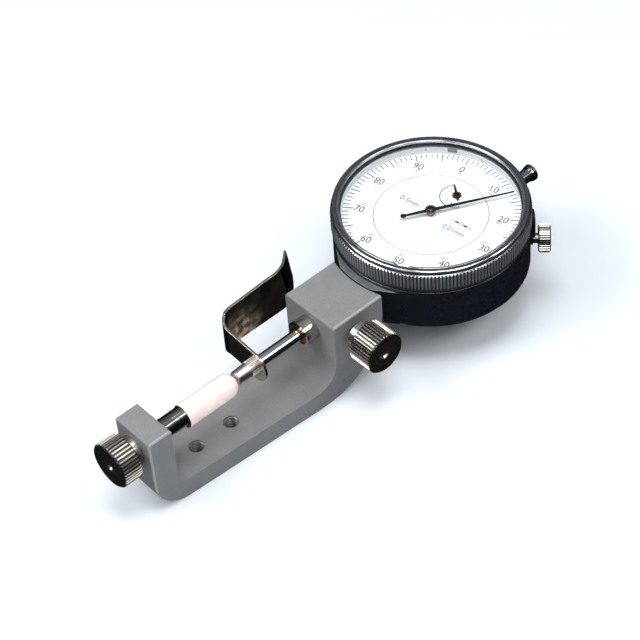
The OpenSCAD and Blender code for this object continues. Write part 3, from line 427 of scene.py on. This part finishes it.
def capsule_skin():
    """Thin warm-white shell with light spread inside it."""
    m = Finish("capsule_skin", linear(252, 232, 227), 0.22)
    cloud = m.noise(2.2, 2)
    m.colour(m.ramp(cloud, [(0.3, linear(249, 224, 218)), (0.7, linear(254, 234, 229))]))
    m.rough(cloud, 0.16, 0.28)
    m.bump(m.noise(1.2, 2), 0.01, 0.4)
    return m.set(Subsurface_Weight=0.3, Subsurface_Radius=(0.004, 0.0015, 0.001), Coat_Weight=0.3).mat


def capsule_inside():
    """The reddish look of the shell's open rim and inner face."""
    m = Finish("capsule_inside", linear(150, 70, 55), 0.35)
    m.colour(m.ramp(m.noise(1.0, 3), [(0.3, linear(120, 48, 38)), (0.7, linear(196, 128, 110))]))
    return m.mat


def dial_white():
    """Matt white lacquer of the dial."""
    m = Finish("dial_white", linear(236, 240, 243), 0.5)
    cloud = m.noise(6, 3)
    m.colour(m.ramp(cloud, [(0.3, linear(232, 237, 241)), (0.7, linear(240, 243, 245))]))
    m.rough(m.noise(0.3, 3), 0.45, 0.6)
    m.bump(m.noise(0.15, 3), 0.003, 0.4)
    return m.mat


def ink(name, tint):
    """Printing ink, a little lighter where it is thin."""
    m = Finish(name, linear(*tint), 0.6)
    m.colour(m.ramp(m.noise(0.25, 3), [(0.35, linear(*tint)), (0.75, linear(*[v + 26 for v in tint]))]))
    return m.mat


def black_lacquer():
    """Semi-gloss black of the hands and the bezel clamp."""
    m = Finish("black_lacquer", linear(14, 15, 18), 0.28)
    m.colour(m.ramp(m.noise(0.6, 3), [(0.35, linear(9, 10, 13)), (0.7, linear(22, 24, 28))]))
    m.rough(m.noise(1.2, 3), 0.2, 0.4)
    return m.mat


def crystal_glass():
    """A thin flat crystal: clear, with a faint gloss that grows at grazing angles."""
    m = Finish("crystal_glass", (0.9, 0.93, 0.95, 1), 0.02, 1.0)
    m.rough(m.noise(8, 3), 0.0, 0.04)
    fresnel = m.nodes.new("ShaderNodeFresnel")
    fresnel.inputs["IOR"].default_value = 1.25
    clear = m.nodes.new("ShaderNodeBsdfTransparent")
    blend = m.nodes.new("ShaderNodeMixShader")
    side = m.nodes.new("ShaderNodeNewGeometry").outputs["Backfacing"]
    m.links.new(m.mix(side, fresnel.outputs[0], (0, 0, 0, 1)), blend.inputs[0])
    m.links.new(clear.outputs[0], blend.inputs[1])
    m.links.new(m.shader.outputs[0], blend.inputs[2])
    m.links.new(blend.outputs[0], m.nodes["Material Output"].inputs["Surface"])
    return m.mat


# ---- building pieces

def add_piece(name, mesh, body, slot_name, *materials):
    """An object from mesh that rides on a body, with the given materials. slot_name is not used."""
    piece = bpy.data.objects.new(name, mesh)
    bpy.context.scene.collection.objects.link(piece)
    for material in materials:
        mesh.materials.append(material)
    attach(piece, body)
    return piece


def clean_copy(node, whole_faces=True):
    """The node's surface as a bmesh, with its flat faces whole again unless they have holes in them."""
    bm = bmesh.new()
    bm.from_mesh(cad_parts[node].data)
    bmesh.ops.remove_doubles(bm, verts=bm.verts, dist=2e-6)
    if whole_faces:
        bmesh.ops.dissolve_limit(bm, angle_limit=math.radians(0.8), verts=bm.verts, edges=bm.edges,
                                 use_dissolve_boundaries=False, delimit=set())
    bm.normal_update()
    return bm


def softened(node, width, body, slot_name, *materials, name=None, angle=32, segments=3, part=None,
             whole_faces=True):
    """Stands for a CAD node, with the edges crisper than angle, in degrees, rounded.

    width is one number, or width(a, b) gives an edge's rounding from its two ends. part(centre, normal) gives
    a face's material number.
    """
    bm = clean_copy(node, whole_faces)
    weight = bm.edges.layers.float.new("bevel_weight_edge")
    crisp = {e: width(e.verts[0].co / MM, e.verts[1].co / MM) if callable(width) else width
             for e in bm.edges if e.is_manifold and e.calc_face_angle(0) > math.radians(angle)}
    widest = max(crisp.values())
    for edge, wide in crisp.items():
        edge[weight] = wide / widest
    rough_mesh = bpy.data.meshes.new("rough_" + node)
    bm.to_mesh(rough_mesh)
    bm.free()
    holder = bpy.data.objects.new("rough_" + node, rough_mesh)
    bpy.context.scene.collection.objects.link(holder)
    rounding = holder.modifiers.new("rounding", "BEVEL")
    rounding.limit_method = "WEIGHT"
    rounding.width = widest * MM
    rounding.segments = segments
    bpy.context.view_layer.update()
    made = holder.evaluated_get(bpy.context.evaluated_depsgraph_get()).to_mesh()
    mesh = bpy.data.meshes.new(name or node + "_finished")
    mesh.from_pydata([v.co.copy() for v in made.vertices], [], [list(p.vertices) for p in made.polygons])
    bpy.data.objects.remove(holder)
    if part:
        for face in mesh.polygons:
            face.material_index = part(face.center / MM, face.normal)
    mesh.polygons.foreach_set("use_smooth", [True] * len(mesh.polygons))
    mesh.set_sharp_from_angle(angle=math.radians(50))
    piece = add_piece(name or node + "_finished", mesh, body, slot_name, *materials)
    weighted = piece.modifiers.new("even_shading", "WEIGHTED_NORMAL")
    weighted.keep_sharp = True
    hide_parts(node)


def finish_node(node, material):
    """Gives a CAD node its material."""
    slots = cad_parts[node].data.materials
    slots.clear()
    slots.append(material)


def lathe(name, profile, origin, axis, steps=96):
    """A closed mesh turned about axis through origin. profile is (radius, height) pairs from end to end."""
    axis = Vector(axis).normalized()
    side = axis.orthogonal().normalized()
    other = axis.cross(side)
    points, faces = [], []
    for radius, height in profile:
        middle = Vector(origin) + axis * height
        for i in range(steps):
            a = 2 * math.pi * i / steps
            points.append((middle + (side * math.cos(a) + other * math.sin(a)) * radius) * MM)
    for k in range(len(profile) - 1):
        for i in range(steps):
            j = (i + 1) % steps
            faces.append((k * steps + i, k * steps + j, (k + 1) * steps + j, (k + 1) * steps + i))
    faces.append(tuple(range(steps - 1, -1, -1)))
    faces.append(tuple((len(profile) - 1) * steps + i for i in range(steps)))
    mesh = bpy.data.meshes.new(name)
    mesh.from_pydata(points, [], faces)
    mesh.polygons.foreach_set("use_smooth", [True] * len(mesh.polygons))
    mesh.set_sharp_from_angle(angle=math.radians(40))
    return mesh


# ---- dial printing

def dial_point(right, up, turn):
    """A place on the dial's face. up points to the angle turn from +X, and right points clockwise of it."""
    return Vector((DIAL_X + up * math.cos(turn) + right * math.sin(turn),
                   up * math.sin(turn) - right * math.cos(turn), DIAL_Z))


def slab(bm, corners):
    """A thin flat mark over corners, which are given counterclockwise in millimetres."""
    low = [bm.verts.new(Vector(c) * MM) for c in corners]
    high = [bm.verts.new((Vector(c) + Vector((0, 0, PRINT_T))) * MM) for c in corners]
    n = len(corners)
    bm.faces.new(high)
    bm.faces.new(low[::-1])
    for i in range(n):
        bm.faces.new((low[i], low[(i + 1) % n], high[(i + 1) % n], high[i]))


def bar_mark(bm, start, end, width):
    """A straight mark."""
    along = (end - start).normalized()
    side = Vector((-along.y, along.x, 0)) * width / 2
    slab(bm, [start - side, end - side, end + side, start + side])


def arc_mark(bm, centre, radius, width, first, last, steps):
    """A curved mark from the angle first to the angle last."""
    for i in range(steps):
        a, b = (first + (last - first) * k / steps for k in (i, i + 1))
        rim = [Vector((math.cos(t), math.sin(t), 0)) for t in (a, b)]
        slab(bm, [centre + rim[0] * (radius - width / 2), centre + rim[0] * (radius + width / 2),
                  centre + rim[1] * (radius + width / 2), centre + rim[1] * (radius - width / 2)])


def lettering(bm, words, height, place, turn, narrow=0.9):
    """Adds flat lettering of that height, centred on place, with its up direction at angle turn."""
    half_t = 0.01
    curve = bpy.data.curves.new("lettering", "FONT")
    curve.body = words
    curve.extrude = half_t
    curve.resolution_u = 4
    holder = bpy.data.objects.new("lettering", curve)
    bpy.context.scene.collection.objects.link(holder)
    bpy.context.view_layer.update()
    mesh = bpy.data.meshes.new_from_object(holder.evaluated_get(bpy.context.evaluated_depsgraph_get()))
    bpy.data.objects.remove(holder)
    xs, ys = [v.co.x for v in mesh.vertices], [v.co.y for v in mesh.vertices]
    scale = height / (max(ys) - min(ys))
    middle = Vector(((max(xs) + min(xs)) / 2, (max(ys) + min(ys)) / 2, -half_t))
    spin = Matrix.Rotation(turn - math.pi / 2, 3, "Z")
    size = Vector((scale * narrow, scale, PRINT_T / (2 * half_t)))
    for v in mesh.vertices:
        local = v.co - middle
        v.co = (place + spin @ Vector((local.x * size.x, local.y * size.y, local.z * size.z))) * MM
    bm.from_mesh(mesh)
    bpy.data.meshes.remove(mesh)


def print_mesh(name, bm):
    """Turns a bmesh into a mesh and frees it."""
    mesh = bpy.data.meshes.new(name)
    bm.to_mesh(mesh)
    bm.free()
    return mesh


def add_scale_print(black, red):
    """The 100 divisions, their numbers and the small red numbers that count backwards."""
    marks, labels, backward = bmesh.new(), bmesh.new(), bmesh.new()
    centre = Vector((DIAL_X, 0, DIAL_Z))
    for i in range(100):
        a = SCALE_ZERO - 2 * math.pi * i / 100
        out = Vector((math.cos(a), math.sin(a), 0))
        inner, width = (22.8, 0.28) if i % 5 == 0 else (23.9, 0.23)
        bar_mark(marks, centre + out * inner, centre + out * TICK_END_R, width)
    for i in range(10):
        a = 2 * math.pi * i / 10
        right, up = NUMBER_R * math.sin(a), NUMBER_R * math.cos(a)
        lettering(labels, str(10 * i), 2.5, dial_point(right, up, SCALE_ZERO), SCALE_ZERO)
        shift, rise = BACKWARD_PLACES[i]
        lettering(backward if i else labels, str((100 - 10 * i) % 100), 1.3,
                  dial_point(right + shift, up + rise, SCALE_ZERO), SCALE_ZERO)
    add_piece("scale_ticks", print_mesh("scale_ticks", marks), "turning_bezel", "black_hand", black)
    add_piece("scale_numbers", print_mesh("scale_numbers", labels), "turning_bezel", "black_hand", black)
    add_piece("scale_backward_numbers", print_mesh("scale_backward_numbers", backward), "turning_bezel",
              "black_hand", red)


def arrow(bm, tip, tail, turn):
    """A short filled arrow with a tail line. tip and tail are places right and up on the dial."""
    start, end = dial_point(*tail, turn), dial_point(*tip, turn)
    along = (end - start).normalized()
    side = Vector((-along.y, along.x, 0)) * 0.55
    base = end - along * 1.4
    bar_mark(bm, start, end - along, 0.22)
    slab(bm, [end, base + side, base - side])


def add_centre_print(black):
    """The range, the division and its arrows, the line round the fixed disc, and the counter's scale."""
    bm = bmesh.new()
    lettering(bm, "0-5mm", 1.9, dial_point(-8.3, 0.8, CENTRE_TILT), CENTRE_TILT, 0.88)
    lettering(bm, "0.01mm", 1.7, dial_point(9.3, -1.6, CENTRE_TILT), CENTRE_TILT, 0.96)
    for side in (-1, 1):
        arrow(bm, (ARROWS_RIGHT + side * 0.45, ARROWS_UP), (ARROWS_RIGHT + side * 3.5, ARROWS_UP), CENTRE_TILT)
        foot, head = (dial_point(ARROWS_RIGHT + side * 0.35, up, CENTRE_TILT) for up in (0.9, 2.6))
        bar_mark(bm, foot, head, 0.2)
    hub = Vector((DIAL_X + ARBOR_OFFSET, 0, DIAL_Z))
    arc_mark(bm, Vector((DIAL_X, 0, DIAL_Z)), DISC_JOINT_R, 0.1, 0, 2 * math.pi, 160)
    first, last = math.radians(52), math.radians(232)
    arc_mark(bm, hub, COUNTER_SCALE_R, 0.2, first, last, 40)
    for i in range(26):
        a = first + (last - first) * i / 25
        out = Vector((math.cos(a), math.sin(a), 0))
        inner = 4.1 if i % 5 == 0 else 4.5
        bar_mark(bm, hub + out * inner, hub + out * COUNTER_SCALE_R, 0.15)
    for i in range(1, 6):
        a = first + (last - first) * i / 5
        lettering(bm, str(i), 0.95, hub + Vector((math.cos(a), math.sin(a), 0)) * 3.2, 0)
    add_piece("centre_printing", print_mesh("centre_printing", bm), "mount", "black_hand", black)


def add_pointer_hub(bronze, lacquer):
    """The pointer's hub: a small bronze dome on a black collar."""
    origin = (DIAL_X, 0, DIAL_Z + 1.75)
    dome_r = 1.19
    profile = [(0.52, 0.0), (1.62, 0.0), (1.65, 0.1), (1.65, 0.25), (1.55, 0.34), (1.2, 0.36),
               (1.17, 0.5), (1.0, 0.64), (0.78, 0.73), (0.55, 0.78)]
    mesh = lathe("pointer_boss", profile, origin, (0, 0, 1), 64)
    for face in mesh.polygons:
        face.material_index = int(math.hypot(face.center.x / MM - DIAL_X, face.center.y / MM) > dome_r)
    piece = add_piece("pointer_boss", mesh, "pointer", "brass_part", bronze, lacquer)
    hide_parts("pointer_hub")


# ---- the object

def frame_rounding(a, b):
    """Wide on the blocks' upright edges beside the gap, fine round the holes, and soft elsewhere."""
    middle = (a + b) / 2
    soft, fine = 0.7, 0.25
    beside_gap = -18.6 < middle.x < -14.3 or 30.5 < middle.x < 37.8
    if math.hypot(abs(middle.x) - BASE_HOLE_X, middle.y) < 2.6:
        return 0.3
    if abs(middle.y) > 6 and beside_gap and middle.z > BAR_TOP:
        return soft + 0.65 * min(1, max(0, (middle.z - 7.5) / 6))
    if math.hypot(middle.y, middle.z - AXIS_Z) < 4.4 or abs(middle.x - CLAMP_X) < 2.2 and middle.z > 18:
        return fine
    return soft


def frame_part(centre, normal):
    """1 on the casting's long rounded edges, which take the lighter paint as a painted highlight."""
    return int(0.16 < abs(normal.y) < 0.98 and abs(centre.y) > 6 and centre.x < 53)


def boss_rounding(a, b):
    """Rounds only the upper outline of the stem's boss, outside the case's wall."""
    outside = all(abs(v.z - BOSS_TOP) < 0.1 and math.hypot(v.x - DIAL_X, v.y) > CASE_R - 0.1 for v in (a, b))
    return 0.25 if outside else 0.0


def boss_part(centre, normal):
    """1 on top of the stem's boss."""
    high = BOSS_TOP - 0.4 < centre.z < BOSS_TOP + 0.1
    return int(normal.z > 0.3 and high and math.hypot(centre.x - DIAL_X, centre.y) > CASE_R)


def bezel_part(centre, normal):
    """1 for the wall between the scale and the crystal, 2 for the bright chamfers above the knurl."""
    radius, rise = math.hypot(centre.x - DIAL_X, centre.y), centre.z - DIAL_Z
    if radius < 26.4 and -0.5 < rise < 3.2:
        return 1
    return 2 if radius > 28 and rise > 2.85 and 0.3 < normal.z < 0.95 else 0


def capsule_part(centre, normal):
    """1 for the shell's inside and its open rim, by the side of its axis that the face looks to."""
    inward = normal.y * centre.y + normal.z * (centre.z - AXIS_Z + CAPSULE_DROP) < 0
    if centre.x < CAPSULE_STRAIGHT_X:
        return int(normal.x < -0.9 or inward)
    return int(normal.x < 0)


def lever_part(centre, normal):
    """1 for the strip's bright cut edges and its round eye, 2 for its faces inside the bend, 0 outside it."""
    if abs(normal.z) > 0.45 or math.hypot(centre.y, centre.z - AXIS_Z) < 5.2:
        return 1
    return 2 if normal.x > normal.y else 0


def add_base_threads(paint):
    """The threads inside the two base holes, as liners with a helical inner face."""
    pitch, depth, around, rows, low, high = 0.7, 0.3, 48, 6, 0.5, 6.2
    steps = round((high - low) / pitch * rows)
    bm = bmesh.new()

    def rim(x, z, radii):
        """A ring of points round a hole, each at its own radius."""
        return [bm.verts.new(Vector((x + r * math.cos(2 * math.pi * i / around),
                                     r * math.sin(2 * math.pi * i / around), z)) * MM)
                for i, r in enumerate(radii)]

    for x in (-BASE_HOLE_X, BASE_HOLE_X):
        grid = []
        for k in range(steps + 1):
            z = low + (high - low) * k / steps
            shares = [(z / pitch - i / around) % 1 for i in range(around)]
            grid.append(rim(x, z, [BASE_HOLE_R - 0.02 - depth * max(0, 1 - abs(share - 0.5) * 3)
                                   for share in shares]))
        skin = [rim(x, z, [BASE_HOLE_R + 0.02] * around) for z in (low, high)]
        for i in range(around):
            j = (i + 1) % around
            for lower, upper in zip(grid, grid[1:]):
                bm.faces.new((lower[j], lower[i], upper[i], upper[j]))
            bm.faces.new((skin[0][i], skin[0][j], skin[1][j], skin[1][i]))
            bm.faces.new((grid[0][i], grid[0][j], skin[0][j], skin[0][i]))
            bm.faces.new((grid[-1][j], grid[-1][i], skin[1][i], skin[1][j]))
    mesh = print_mesh("base_threads", bm)
    mesh.polygons.foreach_set("use_smooth", [True] * len(mesh.polygons))
    add_piece("base_threads", mesh, "mount", "cast_frame", paint)


def knob_part(height, facing, radius, outer):
    """1 for a knob's dished end, 2 for its hub, 0 for its serrations.

    height is measured from the knob's step to its hub, and facing is the face's lean that way.
    """
    if facing < -0.55 and radius < outer - 1.15 and height < 0:
        return 1
    return 2 if radius < 4.7 and height > 0 else 0


def build():
    """Gives every CAD node its material or a finished piece in its place, and adds the printing."""
    paint = cast_paint()
    knob_a = nickel("anvil_knob_nickel", GAUGE_AXIS, (6.5, 6.95), rough=(0.3, 0.42))
    knob_c = nickel("clamp_knob_nickel", CLAMP_AXIS, (6.0, 6.45))
    hub_a = nickel("anvil_hub_nickel", GAUGE_AXIS)
    hub_c = nickel("clamp_hub_nickel", CLAMP_AXIS)
    end_a = dark_turned("anvil_knob_end", GAUGE_AXIS)
    end_c = dark_turned("clamp_knob_end", CLAMP_AXIS)
    contact_nickel = nickel("contact_nickel", GAUGE_AXIS, None, (216, 213, 207), (0.26, 0.4))
    rod = polished("anvil_steel", GAUGE_AXIS, (150, 149, 146), (0.1, 0.2))
    chrome = polished("chrome", GAUGE_AXIS, (214, 216, 219), (0.05, 0.1))
    stem_metal = polished("stem_steel", GAUGE_AXIS, (205, 200, 190), (0.12, 0.22))
    bronze = plain_metal("bronze", (186, 112, 60))
    hub_bronze = plain_metal("hub_bronze", (92, 68, 44), (0.2, 0.34))
    brass = plain_metal("brass", (200, 168, 92))
    screw_steel = plain_metal("screw_steel", (150, 150, 150))
    blued = plain_metal("blued_steel", (70, 84, 120), (0.2, 0.3))
    clamp_ring = plain_metal("clamp_ring_steel", (128, 131, 134))
    strip_edge = plain_metal("strip_edge_nickel", (206, 199, 182), (0.16, 0.28))
    thread_steel = plain_metal("thread_steel", (168, 170, 172), (0.4, 0.55))
    ring_steel = polished("crystal_ring_steel", DIAL_AXIS, (186, 189, 193), (0.2, 0.28))
    enamel = black_enamel()
    chamfer = polished("bezel_chamfer", DIAL_AXIS, (214, 216, 219), (0.22, 0.3))
    bezel_skin = bezel_metal()
    head = nickel("clamp_head_nickel", SHOE_AXIS, (3.95, 4.15), (222, 222, 220))
    lacquer = black_lacquer()
    white = dial_white()
    black, red = ink("ink_black", (26, 27, 30)), ink("ink_red", (206, 70, 74))

    # the second, lighter paint is a painted highlight along the frame's long edges
    softened("frame", frame_rounding, "mount", "cast_frame", paint, cast_paint("cast_paint_edge_highlight", 44),
             name="frame_casting", part=frame_part)
    add_base_threads(thread_steel)
    softened("anvil_knob", 0.12, "anvil_handle", "nickel_knob", knob_a, end_a, hub_a, angle=25,
             part=lambda c, n: knob_part(c.x - ANVIL_KNOB_X, n.x, math.hypot(c.y, c.z - AXIS_Z),
                                         ANVIL_KNOB_R))
    softened("clamp_knob", 0.12, "clamp_handle", "nickel_knob", knob_c, end_c, hub_c, angle=25,
             part=lambda c, n: knob_part(c.y - CLAMP_KNOB_Y, n.y, math.hypot(c.x - CLAMP_X, c.z - AXIS_Z),
                                         CLAMP_KNOB_R))
    softened("lifting_lever", 0.12, "spindle", "lever_nickel", lever_metal(), strip_edge,
             lever_metal("lever_reflection_patch", with_painted_reflection=True), angle=40, part=lever_part)
    softened("case_body", boss_rounding, "mount", "black_case", enamel, boss_satin(), angle=40,
             part=boss_part, whole_faces=False)
    softened("back_cover", 0.15, "mount", "black_case", enamel, angle=25)
    softened("bezel", 0.06, "turning_bezel", "dark_bezel", bezel_skin, bezel_wall(), chamfer, angle=30,
             segments=2, part=bezel_part, whole_faces=False)
    softened("crystal_ring", 0.2, "turning_bezel", "dark_bezel", ring_steel, angle=25, whole_faces=False)
    softened("capsule_shell", 0.03, "specimen", "capsule", capsule_skin(), capsule_inside(), angle=40,
             segments=1, part=capsule_part, whole_faces=False)

    finish_node("anvil_rod", rod)
    for node in ("clamp_screw", "cover_screws", "bridge_screws", "spring_post", "return_spring", "guide_pin",
                 "rack_pinion", "centre_arbor", "counter_arbor", "bezel_spring", "shoe_screw"):
        finish_node(node, screw_steel)
    for node in ("clamp_pad", "movement_plate", "gear_bridge", "bridge_pillars", "pin_guide", "hairspring_stud",
                 "rack_gear", "take_up_gear"):
        finish_node(node, brass)
    for node in ("stem_bush_front", "stem_bush_rear", "upper_bush"):
        finish_node(node, bronze)
    finish_node("hairspring", blued)
    finish_node("stem", stem_metal)
    finish_node("plunger", chrome)
    finish_node("contact_point", contact_nickel)
    finish_node("plunger_cap", polished("cap_chrome", GAUGE_AXIS, (168, 172, 176), (0.08, 0.16)))
    finish_node("pointer_collet", clamp_ring)
    finish_node("counter_hub", hub_bronze)
    finish_node("main_pointer", lacquer)
    finish_node("counter_hand", lacquer)
    finish_node("crystal", crystal_glass())
    finish_node("scale_ring", white)
    finish_node("centre_disc", white)
    finish_node("scale_clamp_ring", clamp_ring)
    finish_node("clamp_shoe", lacquer)
    finish_node("shoe_head", head)
    add_pointer_hub(hub_bronze, lacquer)
    add_scale_print(black, red)
    add_centre_print(black)


add_camera()
add_world()
add_lights()
add_floor()
build()
